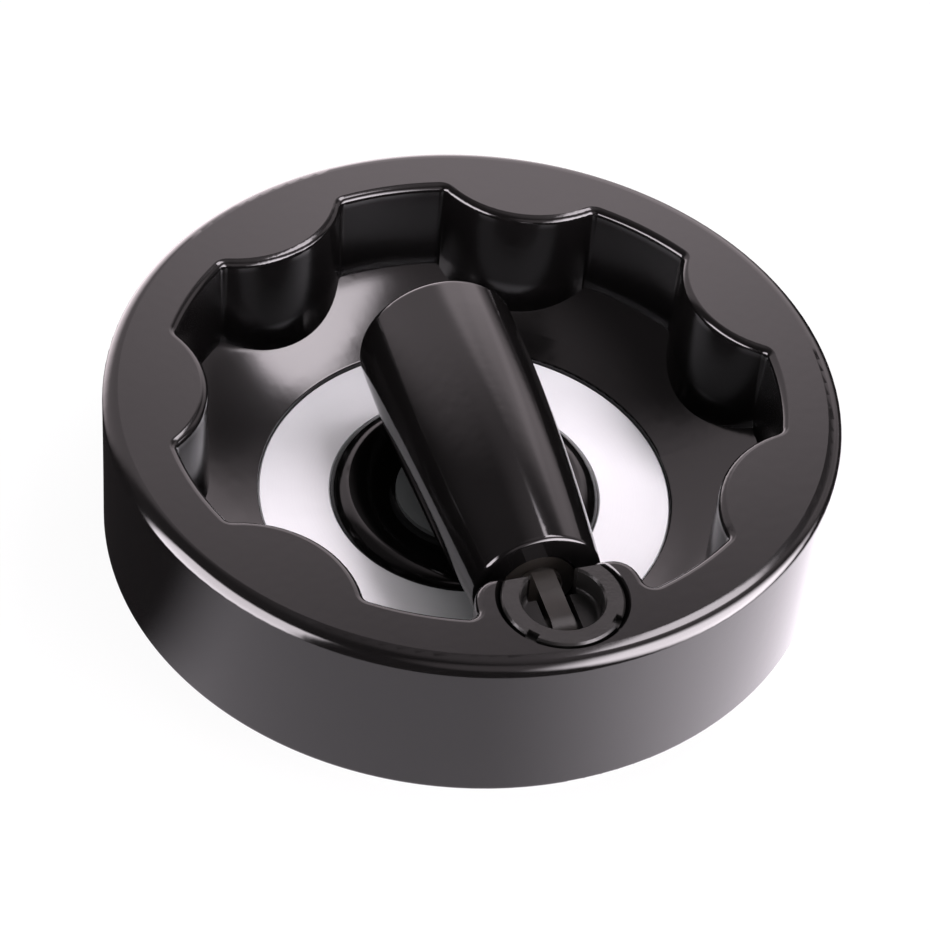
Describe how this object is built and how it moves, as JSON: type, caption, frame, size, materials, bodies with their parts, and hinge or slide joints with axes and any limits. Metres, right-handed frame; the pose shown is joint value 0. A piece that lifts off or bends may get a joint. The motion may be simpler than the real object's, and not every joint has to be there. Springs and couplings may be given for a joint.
{
  "type": "machine handwheel",
  "caption": "Round moulded handwheel with an inner wave of finger lobes, a keyed metal hub bush, a trim ring and a revolving grip that folds into the dish.",
  "frame": {"origin": "centre of the hub's back face, on the shaft's axis", "axes": "+Z along the shaft to the operator's side; the handle's pivot is on -Y and the folded grip points to +Y"},
  "size_m": [0.125, 0.125, 0.0476],
  "materials": {
    "wheel_moulding": "glossy black phenolic moulding",
    "grip_moulding": "glossy black phenolic moulding",
    "trim_aluminium": "matt silver anodised",
    "bush_steel": "blackened steel, bored bright",
    "housing_metal": "blackened, satin",
    "bright_steel": "zinc plated",
    "black_screw": "black oxide",
    "spring_steel": "tempered strip",
    "spindle_steel": "turned, zinc plated",
    "washer_plastic": "natural acetal",
    "bush_brass": "turned brass"
  },
  "bodies": {
    "wheel": {"wheel_body": "wheel_moulding", "trim_ring": "trim_aluminium", "hub_bush": "bush_steel", "hub_grub_screw": "black_screw", "pivot_housing": "housing_metal", "housing_screw": "black_screw", "hinge_pin": "bright_steel", "detent_spring": "spring_steel"},
    "spindle": {"eye_spindle": "spindle_steel", "root_washer": "washer_plastic", "disc_spring": "spring_steel", "end_washer": "bright_steel", "end_screw": "bright_steel"},
    "grip": {"grip": "grip_moulding", "grip_bush": "bush_brass"}
  },
  "joints": [
    {"name": "handle_fold", "type": "hinge", "parent": "wheel", "child": "spindle", "pos_m": [0, -0.049, 0.0337], "axis": [1, 0, 0], "range_deg": [0, 90]},
    {"name": "grip_spin", "type": "hinge", "parent": "spindle", "child": "grip", "pos_m": [0, -0.008, 0.0337], "axis": [0, 1, 0], "continuous": true}
  ]
}
